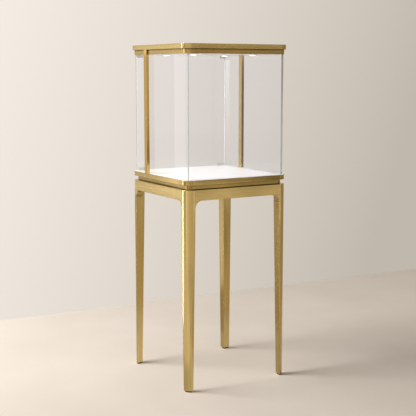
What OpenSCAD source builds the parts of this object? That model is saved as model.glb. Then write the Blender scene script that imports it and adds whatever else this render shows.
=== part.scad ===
// Free-standing glass tower display case: a square glass hood between a brass-tone
// roof and a white deck, on a four-legged frame with arched corners.
// The front is -Y. The origin is on the floor, under the middle of the case.

/* [Overall] */
// Outer width and depth of the deck, the apron and the legs
case_side = 450; // [420:5:520]
// Height of the top of the display deck above the floor
deck_h = 804; // [700:1:950]
// Height of bare glass between the deck and the roof
glass_h = 460; // [350:5:600]
// Outside radius of the corners of the deck, the apron and the legs
corner_r = 34; // [31:0.5:36]

/* [Metal bands] */
// Height of the upper roof band
cap_h = 18; // [16:1:24]
// Height of the recessed roof band under it
lower_band_h = 18; // [17:1:24]
// Height of the band round the deck
deck_band_h = 18; // [18:1:24]
// Height of the recessed neck under the deck
neck_h = 18; // [16:1:30]
// How far the roof stands out past the deck on each side
cap_overhang = 2.5; // [2:0.5:6]
// How far the recessed roof band lies inside the face of the deck
lower_recess = 6; // [5:0.5:7]
// How far the neck lies inside the face of the deck
neck_recess = 15; // [13:0.5:17]
// Thickness of the folded stainless sheet
sheet_t = 1.5; // [1:0.1:1.6]
// Width of the fold under the roof band
cap_lip = 16; // [15:0.5:20]
// Width of the fold under the deck band
deck_lip = 30; // [28:0.5:30]
// Thickness of the plate that closes the top of the roof
top_plate_t = 2; // [1:0.5:3]

/* [Legs and apron] */
// Height of the apron rails
apron_h = 40; // [32:1:60]
// Thickness of the apron rails, front to back
apron_t = 28; // [26:1:32]
// Width of a leg under the apron
leg_top_w = 38; // [36:1:44]
// Width of a leg at its foot
leg_foot_w = 27; // [26:0.5:34]
// Radius of the arch between a leg and the apron
arch_r = 28; // [16:1:40]
// Wall of the legs, rails and leg heads
leg_wall = 1.5; // [1.2:0.1:2]
// Thickness of the plate that closes the foot of each leg
foot_plate_t = 3; // [2:0.5:5]

/* [Glides] */
// Height of the leg ends above the floor
glide_h = 5; // [3:0.5:8]
// How far the glides lie inside the faces of the legs
glide_inset = 3; // [2:0.5:5]
// Radius of the peg on each glide
peg_r = 3; // [2:0.5:4]
// Length of the peg on each glide
peg_l = 9; // [6:1:15]

/* [Glass] */
// Thickness of the panes and the door
glass_t = 6; // [5:0.5:7]
// How far the outer faces of the panes lie inside the face of the deck
glass_inset = 15; // [14:0.5:17]
// How deep the panes stand in the deck
deck_bite = 4; // [3:0.5:6]
// How far the panes reach up into the roof
roof_bite = 12; // [8:0.5:13]
// Thickness of the seat strips under and over the panes
seat_t = 1; // [0.5:0.1:2]
// Gap beside the panes in their slots
slot_gap = 0.5; // [0.3:0.1:0.8]

/* [Posts] */
// Width of a post, seen from the front
post_w = 11; // [9.5:0.5:12]
// Depth of a post, seen from the side
post_d = 22; // [20:1:30]
// Distance from the rear face of a post to the rear face of the deck
post_setback = 116; // [60:1:160]
// Wall of the posts
post_wall = 1.2; // [1:0.1:1.5]
// Length of the threaded inserts in the ends of the posts
insert_l = 16; // [12:1:24]

/* [Deck] */
// Thickness of the white deck panel
panel_t = 3; // [2:0.5:4]

/* [Door] */
// Gap between the door glass and the side panes
door_gap = 1.5; // [1.4:0.1:3]
// Gap between the deck and the door glass
door_lift = 2; // [1.8:0.1:4]
// Gap between the door glass and the ceiling
door_drop = 2; // [1.8:0.1:4]
// Distance of the pivot from the hinged end of the door
pivot_back = 11.5; // [9:0.5:12]
// Radius of the pivot pins
pin_r = 3; // [2:0.5:3.5]
// Length of the pivot pins below and above their shoes
pin_l = 8; // [6:0.5:9]
// Wall of the pivot bushes
bush_wall = 2.5; // [1.5:0.5:3]
// Length of the shoes on the door corners
shoe_l = 30; // [24:1:45]
// Height of the shoes above the edge of the glass
shoe_h = 9; // [7:0.5:14]
// Wall of the shoes
shoe_t = 1.2; // [0.8:0.1:1.4]
// How far the finger lip stands out of its shoe
pull_lip = 5; // [3:0.5:8]
// Width of the magnetic catch under the ceiling
catch_w = 16; // [12:1:24]
// Height of the magnetic catch
catch_h = 9; // [7:0.5:12]

/* [Lock] */
// Distance of the lock from the free end of the door
lock_in = 62.5; // [50:2.5:110]
// Radius of the lock cylinder
cylinder_r = 4.6; // [4:0.1:4.8]
// Wall of the lock sleeve
sleeve_wall = 1.2; // [1:0.1:1.4]
// Length of the cam from the middle of the lock
cam_l = 17; // [15:0.5:20]
// Width of the cam
cam_w = 7; // [5:0.5:8]
// Thickness of the cam
cam_t = 2.5; // [2:0.5:3]

/* [Lights] */
// Distance between the lights across the case
led_pitch_x = 262; // [180:2:290]
// Distance between the front and the rear lights
led_pitch_y = 204; // [140:2:240]
// How far the group of lights is set towards the front
led_forward = 10; // [0:1:20]
// Outer radius of the light rims
led_r = 18; // [16:0.5:25]
// How far the rims stand below the ceiling
led_proud = 3; // [2:0.5:5]
// Radius of the lenses
lens_r = 15; // [12:0.5:15.5]
// Radius of the light bodies
led_body_r = 14; // [10:0.5:14]
// Radius of the lighting cable
cable_r = 1.5; // [1:0.25:2]

/* [Base] */
// Thickness of the base plate
base_t = 2; // [1.5:0.5:3]
// Width of the channels in the neck
channel_w = 18; // [16:1:24]
// Wall of the channels
channel_wall = 2; // [1.5:0.1:2.5]
// Radius of the bolts that hold the neck to the frame
bolt_r = 2.5; // [2:0.5:3]
// Radius of the power inlet
inlet_r = 5.5; // [4.5:0.5:5.5]
// Radius of the socket in the power inlet
socket_r = 3; // [2:0.25:3.5]
// Depth of the socket in the power inlet
socket_l = 9.5; // [8:0.5:12]
// Length of the lighting driver
driver_l = 110; // [80:5:150]
// Width of the lighting driver
driver_w = 42; // [30:1:60]

/* [Clearances] */
// Gap between boards and the bands round them
fit = 0.3; // [0.2:0.1:0.5]
// Radial gap of turning and screwed pieces
run_gap = 0.05; // [0.02:0.01:0.08]
// Gap of glued and pressed pieces
glue_gap = 0.1; // [0.05:0.05:0.2]

/* [Hidden] */
$fn = 64;
brass = "#B4955A";
brass_dark = "#8F7440";
white = "#F4F2EE";
clear_glass = "#CFE0DC66";
board = "#C9B48C";
steel = "#9A9C9E";
dark = "#2A2623";

half = case_side / 2;
cap_half = half + cap_overhang;
cap_r = corner_r + cap_overhang;
low_half = half - lower_recess;
neck_half = half - neck_recess;
neck_r = corner_r - neck_recess;
glass_half = half - glass_inset;
glass_in = glass_half - glass_t;
slot_out = glass_half + slot_gap;
slot_in = glass_in - slot_gap;
// The sharp corner of the glass limits the rounding of the roof band round it
low_r = min(corner_r - lower_recess,
            sheet_t + (low_half - sheet_t - slot_out - fit) / (1 - cos(45)));

deck_z0 = deck_h - deck_band_h;
neck_z0 = deck_z0 - neck_h;
apron_z0 = neck_z0 - apron_h;
arch_z0 = apron_z0 - arch_r;
low_z0 = deck_h + glass_h;
cap_z0 = low_z0 + lower_band_h;
top_z = cap_z0 + cap_h;
ceiling_z1 = low_z0 + sheet_t;
core_z0 = cap_z0 + sheet_t;
board_z0 = deck_z0 + sheet_t;
board_z1 = deck_h - panel_t;
glass_z0 = deck_h - deck_bite;
glass_z1 = low_z0 + roof_bite;

post_y1 = half - post_setback;
post_y0 = post_y1 - post_d;
post_in = half - post_w;
post_mid = half - post_w / 2;
insert_d = (post_d - 2 * post_wall) / 2;
screw_r = 2.5;
screw_head_r = 4.5;
screw_head_h = 2.5;
screw_y = post_y0 + post_wall + insert_d / 2;

door_x = glass_in - door_gap;
door_z0 = deck_h + door_lift;
door_z1 = low_z0 - door_drop;
door_y = glass_half - glass_t / 2;
pivot_x = -door_x + pivot_back;
shoe_base = door_lift - 2 * fit;
shoe_top = door_drop - 2 * fit;
shoe_half = glass_t / 2 + glue_gap + shoe_t;
bush_r = pin_r + bush_wall;
strike_t = 0.8;
catch_x = door_x - 1.2 * catch_w;

lock_x = door_x - lock_in;
lock_z = (board_z0 + board_z1) / 2;
sleeve_r = cylinder_r + run_gap + sleeve_wall;
bezel_t = 1.2;
bezel_r = sleeve_r + 1.4;
cam_y0 = glass_half + 1.6;
cam_y1 = cam_y0 + cam_t;

led_x = led_pitch_x / 2;
led_rows = [-led_pitch_y / 2 - led_forward, led_pitch_y / 2 - led_forward];
led_z0 = low_z0 - led_proud;
lens_t = led_proud * 0.4;
led_top = cap_z0 - 3;
cable_y = post_y1 - post_wall - 2 * cable_r;
cable_x = -post_mid;
cable_top = core_z0 + 2 * cable_r;
cable_low = board_z0 + 2 * cable_r;
cable_drop_x = -(neck_half - sheet_t - fit - channel_w - 4 * cable_r);
groove = cable_r + 1;

channel_out = neck_half - sheet_t - fit;
channel_in = channel_out - channel_w;
channel_z0 = neck_z0 + base_t;
channel_r = neck_r - sheet_t - fit;
bolt_line = half - apron_t + leg_wall + bolt_r + fit;
bolt_head_r = bolt_r * 1.6;
bolt_head_h = bolt_r * 1.2;
bolt_reach = half - leg_top_w - 36;
deck_screw_r = 2;
deck_screw_line = channel_out - channel_w / 2;
inlet_x = 4 * inlet_r - bolt_reach;
inlet_z = (channel_z0 + deck_z0) / 2;
flange_t = 1.5;
driver_h = neck_h - base_t - 4;
driver_x = -70;
driver_y = 90;
supply_y = driver_y + driver_w / 2 + 40;

peg_at = half - 0.55 * leg_foot_w;

// Rounded square outline, h from the middle to a side
module rounded_square(h, r) {
    square([2 * h, 2 * (h - r)], center = true);
    square([2 * (h - r), 2 * h], center = true);
    for (x = [-1, 1], y = [-1, 1])
        translate([x * (h - r), y * (h - r)])
            circle(r);
}

// Rounded square plate from z0 to z1
module slab(h, r, z0, z1) {
    translate([0, 0, z0])
        linear_extrude(z1 - z0)
            rounded_square(h, r);
}

// Box between two corners
module block(x0, x1, y0, y1, z0, z1) {
    translate([x0, y0, z0])
        cube([x1 - x0, y1 - y0, z1 - z0]);
}

// Upright round bar
module rod(x, y, z0, z1, r) {
    translate([x, y, z0])
        cylinder(h = z1 - z0, r = r);
}

// Round bar along Y
module rod_y(x, z, y0, y1, r) {
    translate([x, y0, z])
        rotate([-90, 0, 0])
            cylinder(h = y1 - y0, r = r);
}

// Round bar along X
module rod_x(y, z, x0, x1, r) {
    translate([x0, y, z])
        rotate([0, 90, 0])
            cylinder(h = x1 - x0, r = r);
}

// Copies a shape drawn at the front left corner to the corner on side sx, sy
module corner(sx, sy) {
    mirror([sx > 0 ? 1 : 0, 0, 0])
        mirror([0, sy > 0 ? 1 : 0, 0])
            children();
}

// Slot in the deck and the roof that takes the three fixed panes
module pane_slot(z0, z1) {
    difference() {
        block(-slot_out, slot_out, -slot_out, slot_out, z0, z1);
        block(-slot_in, slot_in, -slot_in, slot_out + 1, z0 - 1, z1 + 1);
    }
}

// Room for the posts beside the recessed roof band
module post_notches(z0, z1) {
    for (s = [-1, 1])
        translate([s * (post_in + half) / 2, (post_y0 + post_y1) / 2, (z0 + z1) / 2])
            cube([post_w + 2 * fit, post_d + 2 * fit, z1 - z0], center = true);
}

module cap_band() {
    color(brass)
        difference() {
            slab(cap_half, cap_r, cap_z0, top_z);
            slab(cap_half - sheet_t, cap_r - sheet_t, core_z0, top_z + 1);
            slab(cap_half - cap_lip, cap_r - cap_lip, cap_z0 - 1, core_z0 + 1);
            for (s = [-1, 1])
                rod(s * post_mid, screw_y, cap_z0 - 1, core_z0 + 1, screw_r + glue_gap);
            rod(cable_x, cable_y, cap_z0 - 1, core_z0 + 1, groove);
        }
}

module cap_top_plate() {
    color(brass)
        slab(cap_half - sheet_t - glue_gap, cap_r - sheet_t - glue_gap, top_z - top_plate_t, top_z);
}

module cap_core() {
    color(board)
        difference() {
            union() {
                slab(cap_half - sheet_t - fit, cap_r - sheet_t - fit, core_z0, top_z - top_plate_t);
                slab(cap_half - cap_lip - fit, cap_r - cap_lip - fit, cap_z0, core_z0 + 1);
            }
            for (s = [-1, 1])
                rod(s * post_mid, screw_y, core_z0 - 1, core_z0 + screw_head_h + 1, screw_head_r + fit);
            block(cable_x - groove, led_x + groove, cable_y - groove, cable_y + groove,
                  cap_z0 - 1, cable_top + groove);
            for (s = [-1, 1])
                block(s * led_x - groove, s * led_x + groove, led_rows[0] - groove, cable_y,
                      cap_z0 - 1, cable_top + groove);
        }
}

module lower_band() {
    color(brass)
        difference() {
            slab(low_half, low_r, low_z0, cap_z0);
            slab(low_half - sheet_t, low_r - sheet_t, ceiling_z1, cap_z0 + 1);
            block(-slot_out, slot_out, -slot_out, slot_out, low_z0 - 1, ceiling_z1 + 1);
            rod(pivot_x, door_y, low_z0 - 1, ceiling_z1 + 1, bush_r + glue_gap);
            post_notches(low_z0 - 1, cap_z0 + 1);
        }
}

module ceiling_board() {
    color(board)
        difference() {
            slab(low_half - sheet_t - fit, low_r - sheet_t - fit, ceiling_z1, cap_z0);
            pane_slot(ceiling_z1 - 1, glass_z1 + seat_t);
            post_notches(ceiling_z1 - 1, cap_z0 + 1);
            rod(pivot_x, door_y, ceiling_z1 - 1, low_z0 + pin_l + bush_wall + fit, bush_r + glue_gap);
            for (s = [-1, 1], y = led_rows)
                rod(s * led_x, y, ceiling_z1 - 1, cap_z0 + 1, led_body_r + fit);
        }
}

module ceiling_panel() {
    color(white)
        difference() {
            block(-slot_in, slot_in, -slot_in, slot_out - fit, low_z0, ceiling_z1);
            rod(pivot_x, door_y, low_z0 - 1, ceiling_z1 + 1, bush_r + glue_gap);
            for (s = [-1, 1], y = led_rows)
                rod(s * led_x, y, low_z0 - 1, ceiling_z1 + 1, led_body_r + fit);
        }
}

module led_rims() {
    color(white)
        for (s = [-1, 1], y = led_rows)
            difference() {
                rod(s * led_x, y, led_z0, low_z0, led_r);
                rod(s * led_x, y, led_z0 - 1, low_z0 + 1, led_body_r - 1);
                rod(s * led_x, y, led_z0 - 1, led_z0 + lens_t + 0.4, lens_r + glue_gap);
            }
}

module led_lenses() {
    color("white")
        for (s = [-1, 1], y = led_rows)
            rod(s * led_x, y, led_z0 + 0.4, led_z0 + lens_t + 0.4, lens_r);
}

module led_bodies() {
    color(steel)
        for (s = [-1, 1], y = led_rows)
            rod(s * led_x, y, low_z0, led_top, led_body_r);
}

// The cable runs from the driver through the deck and the left post to the four lights
module led_cable() {
    color(dark)
        union() {
            rod_x(cable_y, inlet_z, cable_drop_x, driver_x - driver_l / 2, cable_r);
            rod(cable_drop_x, cable_y, inlet_z, cable_low, cable_r);
            rod_x(cable_y, cable_low, cable_x, cable_drop_x, cable_r);
            rod(cable_x, cable_y, cable_low, cable_top, cable_r);
            rod_x(cable_y, cable_top, cable_x, led_x, cable_r);
            for (s = [-1, 1]) {
                rod_y(s * led_x, cable_top, led_rows[0], cable_y, cable_r);
                for (y = led_rows)
                    rod(s * led_x, y, led_top, cable_top, 0.8 * cable_r);
            }
        }
}

module supply_lead() {
    color(dark)
        union() {
            rod_y(inlet_x, inlet_z, supply_y, channel_in - 3, cable_r);
            rod_x(supply_y, inlet_z, inlet_x, driver_x, cable_r);
            rod_y(driver_x, inlet_z, driver_y + driver_w / 2, supply_y, cable_r);
        }
}

// Outline of the front pane from above, mitred at both corners
module mitred_pane() {
    color(clear_glass)
        translate([0, 0, glass_z0])
            linear_extrude(glass_z1 - glass_z0)
                polygon([[-glass_half, -glass_half], [glass_half, -glass_half],
                         [glass_in, -glass_in], [-glass_in, -glass_in]]);
}

// Side pane, mitred at the front and square at the rear, on side s
module side_pane(s) {
    color(clear_glass)
        translate([0, 0, glass_z0])
            linear_extrude(glass_z1 - glass_z0)
                polygon([[s * glass_half, -glass_half], [s * glass_half, glass_half],
                         [s * glass_in, glass_half], [s * glass_in, -glass_in]]);
}

module glass_front() {
    mitred_pane();
}

module glass_left() {
    side_pane(-1);
}

module glass_right() {
    side_pane(1);
}

// Strips that the three fixed panes stand on or press against
module seat_strips(z0, z1) {
    color(dark)
        difference() {
            block(-glass_half, glass_half, -glass_half, glass_half, z0, z1);
            block(-glass_in, glass_in, -glass_in, glass_half + 1, z0 - 1, z1 + 1);
        }
}

module glass_seats_deck() {
    seat_strips(glass_z0 - seat_t, glass_z0);
}

module glass_seats_roof() {
    seat_strips(glass_z1, glass_z1 + seat_t);
}

// Rectangular tube that carries the roof, on side s
module post(s) {
    color(brass)
        translate([s * post_mid, (post_y0 + post_y1) / 2, (deck_h + cap_z0) / 2])
            difference() {
                cube([post_w, post_d, cap_z0 - deck_h], center = true);
                cube([post_w - 2 * post_wall, post_d - 2 * post_wall, cap_z0 - deck_h + 2], center = true);
            }
}

module post_left() {
    post(-1);
}

module post_right() {
    post(1);
}

module post_inserts() {
    color(steel)
        for (s = [-1, 1], z = [deck_h, cap_z0 - insert_l])
            difference() {
                translate([s * post_mid, screw_y, z + insert_l / 2])
                    cube([post_w - 2 * post_wall - 2 * glue_gap, insert_d - 2 * glue_gap, insert_l],
                         center = true);
                rod(s * post_mid, screw_y, z - 1, z + insert_l + 1, screw_r + run_gap);
            }
}

module post_screws() {
    color(steel)
        for (s = [-1, 1]) {
            rod(s * post_mid, screw_y, cap_z0 - insert_l, core_z0, screw_r);
            rod(s * post_mid, screw_y, core_z0, core_z0 + screw_head_h, screw_head_r);
            rod(s * post_mid, screw_y, deck_z0, deck_z0 + screw_head_h, screw_head_r);
            rod(s * post_mid, screw_y, deck_z0 + screw_head_h, deck_h + insert_l, screw_r);
        }
}

// Holes under the posts for their screws and the cable
module post_holes(z0, z1) {
    for (s = [-1, 1])
        rod(s * post_mid, screw_y, z0, z1, screw_r + glue_gap);
    rod(cable_x, cable_y, z0, z1, groove);
}

// Room for the lock sleeve and the swing of its cam
module lock_room() {
    rod_y(lock_x, lock_z, cam_y0 - fit, half + 1, sleeve_r + glue_gap);
    block(lock_x - cam_w / 2 - 2 * fit, lock_x + cam_l + 2 * fit, cam_y0 - fit, cam_y1 + fit,
          lock_z - cam_w / 2 - 2 * fit, deck_h + 1);
}

module deck_band() {
    color(brass)
        difference() {
            slab(half, corner_r, deck_z0, deck_h);
            slab(half - sheet_t, corner_r - sheet_t, board_z0, deck_h + 1);
            slab(half - deck_lip, corner_r - deck_lip, deck_z0 - 1, board_z0 + 1);
            for (s = [-1, 1])
                rod(s * post_mid, screw_y, deck_z0 - 1, board_z0 + 1, screw_head_r + glue_gap);
            for (p = deck_screw_places())
                rod(p[0], p[1], deck_z0 - 1, board_z0 + 1, deck_screw_r + glue_gap);
            rod_y(lock_x, lock_z, half - 2 * sheet_t, half + 1, sleeve_r + glue_gap);
        }
}

module deck_board() {
    color(board)
        difference() {
            slab(half - sheet_t - fit, corner_r - sheet_t - fit, board_z0, board_z1);
            pane_slot(glass_z0 - seat_t, board_z1 + 1);
            rod(pivot_x, door_y, deck_h - pin_l - bush_wall - fit, board_z1 + 1, bush_r + glue_gap);
            post_holes(board_z0 - 1, board_z1 + 1);
            for (s = [-1, 1])
                rod(s * post_mid, screw_y, board_z0 - 1, deck_z0 + screw_head_h, screw_head_r + glue_gap);
            block(cable_x - groove, cable_drop_x + groove, cable_y - groove, cable_y + groove,
                  board_z0 - 1, cable_low + groove);
            for (p = deck_screw_places())
                rod(p[0], p[1], board_z0 - 1, board_z1 - 2, deck_screw_r + run_gap);
            lock_room();
        }
}

module deck_panel() {
    color(white)
        difference() {
            slab(half - sheet_t - glue_gap, corner_r - sheet_t - glue_gap, board_z1, deck_h);
            pane_slot(board_z1 - 1, deck_h + 1);
            rod(pivot_x, door_y, board_z1 - 1, deck_h + 1, bush_r + glue_gap);
            post_holes(board_z1 - 1, deck_h + 1);
            lock_room();
        }
}

module door_glass() {
    color(clear_glass)
        block(-door_x, door_x, glass_in, glass_half, door_z0, door_z1);
}

// Shoe over the edge of the door glass, between x0 and x1
module shoe(x0, x1, z0, z1) {
    difference() {
        block(x0, x1, door_y - shoe_half, door_y + shoe_half, z0, z1);
        block(x0 - 1, x1 + 1, glass_in - glue_gap, glass_half + glue_gap,
              door_z0 - glue_gap, door_z1 + glue_gap);
    }
}

module door_shoe_bottom() {
    color(white)
        union() {
            shoe(-door_x, -door_x + shoe_l, door_z0 - shoe_base, door_z0 + shoe_h);
            rod(pivot_x, door_y, deck_h - pin_l, door_z0 - shoe_base / 2, pin_r);
        }
}

module door_shoe_top() {
    color(white)
        union() {
            shoe(-door_x, -door_x + shoe_l, door_z1 - shoe_h, door_z1 + shoe_top);
            rod(pivot_x, door_y, door_z1 + shoe_top / 2, low_z0 + pin_l, pin_r);
        }
}

module door_pull_shoe() {
    color(clear_glass)
        union() {
            shoe(door_x - shoe_l, door_x, door_z0 - shoe_base, door_z0 + shoe_h);
            block(door_x - shoe_l, door_x, door_y + shoe_half - 0.2, door_y + shoe_half + pull_lip,
                  door_z0 + shoe_h - 2 * shoe_t, door_z0 + shoe_h);
        }
}

module door_strike() {
    color(steel)
        difference() {
            block(catch_x, catch_x + catch_w, glass_in - glue_gap - strike_t, glass_half + glue_gap + strike_t,
                  door_z1 - catch_h, door_z1 + strike_t + glue_gap);
            block(catch_x - 1, catch_x + catch_w + 1, glass_in - glue_gap, glass_half + glue_gap,
                  door_z1 - catch_h - 1, door_z1 + glue_gap);
        }
}

module pivot_bush_bottom() {
    color(dark)
        difference() {
            rod(pivot_x, door_y, deck_h - pin_l - bush_wall, door_z0 - shoe_base - run_gap, bush_r);
            rod(pivot_x, door_y, deck_h - pin_l - fit, door_z0, pin_r + run_gap);
        }
}

module pivot_bush_top() {
    color(dark)
        difference() {
            rod(pivot_x, door_y, door_z1 + shoe_top + run_gap, low_z0 + pin_l + bush_wall, bush_r);
            rod(pivot_x, door_y, door_z1, low_z0 + pin_l + fit, pin_r + run_gap);
        }
}

module door_catch() {
    color(white)
        block(catch_x, catch_x + catch_w, glass_in - strike_t - 2 * glue_gap - fit - catch_w / 2,
              glass_in - strike_t - 2 * glue_gap - fit, low_z0 - catch_h, low_z0);
}

module lock_sleeve() {
    color(steel)
        difference() {
            union() {
                rod_y(lock_x, lock_z, cam_y1 + fit, half + bezel_t, sleeve_r);
                rod_y(lock_x, lock_z, half, half + bezel_t, bezel_r);
            }
            rod_y(lock_x, lock_z, cam_y1, half + bezel_t + 1, cylinder_r + run_gap);
        }
}

module lock_cylinder() {
    color(steel)
        difference() {
            rod_y(lock_x, lock_z, cam_y1, half + bezel_t, cylinder_r);
            block(lock_x - 0.6, lock_x + 0.6, half + bezel_t - 4, half + bezel_t + 1,
                  lock_z - cylinder_r * 0.6, lock_z + cylinder_r * 0.6);
        }
}

module lock_cam() {
    color(steel)
        union() {
            rod_y(lock_x, lock_z, cam_y0, cam_y1, cam_w / 2);
            block(lock_x, lock_x + cam_l - cam_w / 2, cam_y0, cam_y1, lock_z - cam_w / 2, lock_z + cam_w / 2);
            rod_y(lock_x + cam_l - cam_w / 2, lock_z, cam_y0, cam_y1, cam_w / 2);
        }
}

// Bolts through the neck channels and the base plate into the apron
function bolt_places() = [for (a = [-1, 1], b = [-1, 1], k = [0, 1])
    k == 0 ? [a * bolt_reach, b * bolt_line] : [b * bolt_line, a * bolt_reach]];

// Screws through the neck channels up into the deck board
function deck_screw_places() = [for (a = [-1, 1], b = [-1, 1], k = [0, 1])
    k == 0 ? [a * bolt_reach / 2, b * deck_screw_line] : [b * deck_screw_line, a * bolt_reach / 2]];

module neck_band() {
    color(brass_dark)
        difference() {
            slab(neck_half, neck_r, neck_z0, deck_z0);
            slab(neck_half - sheet_t, neck_r - sheet_t, neck_z0 - 1, deck_z0 + 1);
            rod_y(inlet_x, inlet_z, neck_half - 2 * sheet_t, neck_half + 1, inlet_r + glue_gap);
        }
}

// Channel along the front of the neck, open outwards, with its end caps rounded by the band
module neck_channel(length) {
    difference() {
        intersection() {
            slab(channel_out, channel_r, channel_z0, deck_z0);
            block(-length, length, -channel_out - 1, -channel_in, channel_z0, deck_z0);
        }
        block(-length - 1, length + 1, -channel_out - 1, -channel_in - channel_wall,
              channel_z0 + channel_wall, deck_z0 - channel_wall);
    }
}

module neck_holes() {
    for (p = bolt_places())
        rod(p[0], p[1], neck_z0 - 1, channel_z0 + channel_wall + 1, bolt_r + glue_gap);
    for (p = deck_screw_places())
        rod(p[0], p[1], deck_z0 - channel_wall - 1, deck_z0 + 1, deck_screw_r + glue_gap);
    rod_y(inlet_x, inlet_z, channel_in - 1, neck_half, inlet_r + glue_gap);
}

module neck_channel_front() {
    color(steel)
        difference() {
            neck_channel(channel_out);
            neck_holes();
        }
}

module neck_channel_rear() {
    color(steel)
        difference() {
            rotate([0, 0, 180])
                neck_channel(channel_out);
            neck_holes();
        }
}

module neck_channel_left() {
    color(steel)
        difference() {
            rotate([0, 0, -90])
                neck_channel(channel_in - fit);
            neck_holes();
        }
}

module neck_channel_right() {
    color(steel)
        difference() {
            rotate([0, 0, 90])
                neck_channel(channel_in - fit);
            neck_holes();
        }
}

module base_plate() {
    color(steel)
        difference() {
            slab(channel_out, channel_r, neck_z0, channel_z0);
            for (p = bolt_places())
                rod(p[0], p[1], neck_z0 - 1, channel_z0 + 1, bolt_r + glue_gap);
        }
}

module led_driver() {
    color(white)
        block(driver_x - driver_l / 2, driver_x + driver_l / 2, driver_y - driver_w / 2,
              driver_y + driver_w / 2, channel_z0, channel_z0 + driver_h);
}

module power_inlet() {
    color(dark)
        difference() {
            union() {
                rod_y(inlet_x, inlet_z, channel_in - 3, neck_half, inlet_r);
                rod_y(inlet_x, inlet_z, neck_half, neck_half + flange_t, inlet_r + flange_t);
            }
            rod_y(inlet_x, inlet_z, neck_half + flange_t - socket_l, neck_half + flange_t + 1, socket_r);
        }
}

module frame_bolts() {
    color(steel)
        for (p = bolt_places()) {
            rod(p[0], p[1], neck_z0 - 4 * bolt_r, channel_z0 + channel_wall, bolt_r);
            rod(p[0], p[1], channel_z0 + channel_wall, channel_z0 + channel_wall + bolt_head_h, bolt_head_r);
        }
}

module deck_screws() {
    color(steel)
        for (p = deck_screw_places()) {
            rod(p[0], p[1], deck_z0 - channel_wall, board_z1 - 2 - fit, deck_screw_r);
            rod(p[0], p[1], deck_z0 - channel_wall - deck_screw_r, deck_z0 - channel_wall, 1.8 * deck_screw_r);
        }
}

// Side outline of the front left leg, i inside its surface
module leg_side(i) {
    taper = (leg_top_w - leg_foot_w) / (arch_z0 - glide_h);
    translate([0, leg_top_w - half + 10, 0])
        rotate([90, 0, 0])
            linear_extrude(leg_top_w + 20)
                polygon([[-half - 1, 0], [leg_foot_w - half - i - taper * glide_h, 0],
                         [leg_top_w - half - i, arch_z0], [leg_top_w - half - i, neck_z0],
                         [-half - 1, neck_z0]]);
}

// Tapered leg from z0 to z1, i inside its surface: straight outside, narrowing inside
module leg_body(i, z0, z1) {
    intersection() {
        slab(half - i, corner_r - i, z0, z1);
        leg_side(i);
        mirror([1, -1, 0])
            leg_side(i);
    }
}

module leg(sx, sy) {
    color(brass)
        corner(sx, sy)
            difference() {
                leg_body(0, glide_h, neck_z0);
                leg_body(leg_wall, glide_h + foot_plate_t, neck_z0 - leg_wall);
                rod(-peg_at, -peg_at, glide_h - 1, glide_h + foot_plate_t + 1, peg_r + glue_gap);
            }
}

module leg_front_left() {
    leg(-1, -1);
}

module leg_front_right() {
    leg(1, -1);
}

module leg_rear_left() {
    leg(-1, 1);
}

module leg_rear_right() {
    leg(1, 1);
}

// Apron tube along the front, between the legs
module apron() {
    difference() {
        block(leg_top_w - half, half - leg_top_w, -half, apron_t - half, apron_z0, neck_z0);
        block(leg_top_w - half - 1, half - leg_top_w + 1, leg_wall - half, apron_t - half - leg_wall,
              apron_z0 + leg_wall, neck_z0 - leg_wall);
        for (s = [-1, 1])
            rod(s * bolt_reach, -bolt_line, neck_z0 - 2 * leg_wall, neck_z0 + 1, bolt_r + run_gap);
    }
}

module apron_front() {
    color(brass)
        apron();
}

module apron_rear() {
    color(brass)
        rotate([0, 0, 180])
            apron();
}

module apron_left() {
    color(brass)
        rotate([0, 0, -90])
            apron();
}

module apron_right() {
    color(brass)
        rotate([0, 0, 90])
            apron();
}

// Curved corner piece under the front rail, beside the front left leg
module gusset() {
    translate([0, apron_t - half, 0])
        rotate([90, 0, 0])
            linear_extrude(apron_t)
                translate([leg_top_w - half, arch_z0])
                    difference() {
                        square(arch_r);
                        translate([arch_r, 0])
                            circle(arch_r);
                    }
}

module arch_gussets() {
    color(brass)
        for (sx = [-1, 1], sy = [-1, 1])
            corner(sx, sy) {
                gusset();
                mirror([1, -1, 0])
                    gusset();
            }
}

// Moulded glide under a leg, with a peg pressed into its foot plate
module glide(sx, sy) {
    color(dark)
        corner(sx, sy)
            union() {
                leg_body(glide_inset, 0, glide_h);
                rod(-peg_at, -peg_at, glide_h / 2, glide_h + peg_l, peg_r);
            }
}

module glide_front_left() {
    glide(-1, -1);
}

module glide_front_right() {
    glide(1, -1);
}

module glide_rear_left() {
    glide(-1, 1);
}

module glide_rear_right() {
    glide(1, 1);
}

cap_band();
cap_top_plate();
cap_core();
lower_band();
ceiling_board();
ceiling_panel();
led_rims();
led_lenses();
led_bodies();
led_cable();
supply_lead();
glass_front();
glass_left();
glass_right();
glass_seats_deck();
glass_seats_roof();
post_left();
post_right();
post_inserts();
post_screws();
deck_band();
deck_board();
deck_panel();
door_glass();
door_shoe_bottom();
door_shoe_top();
door_pull_shoe();
door_strike();
pivot_bush_bottom();
pivot_bush_top();
door_catch();
lock_sleeve();
lock_cylinder();
lock_cam();
neck_band();
neck_channel_front();
neck_channel_rear();
neck_channel_left();
neck_channel_right();
base_plate();
led_driver();
power_inlet();
frame_bolts();
deck_screws();
leg_front_left();
leg_front_right();
leg_rear_left();
leg_rear_right();
apron_front();
apron_rear();
apron_left();
apron_right();
arch_gussets();
glide_front_left();
glide_front_right();
glide_rear_left();
glide_rear_right();
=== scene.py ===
# %% [markdown]
# # A glass tower display case
# The case is a square glass hood between a roof and a white deck, on a tall frame with four tapered legs.
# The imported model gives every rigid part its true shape, so most of it is kept and only finished. This
# script adds what a drawing in solids leaves out: polished glass edges, glue lines, glazing beads, turned
# light rims and lenses, small screws, and the surfaces of brushed metal, acrylic, nylon and rubber.

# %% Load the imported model
import math

import bmesh
import bpy
from mathutils import Matrix, Vector


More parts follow.
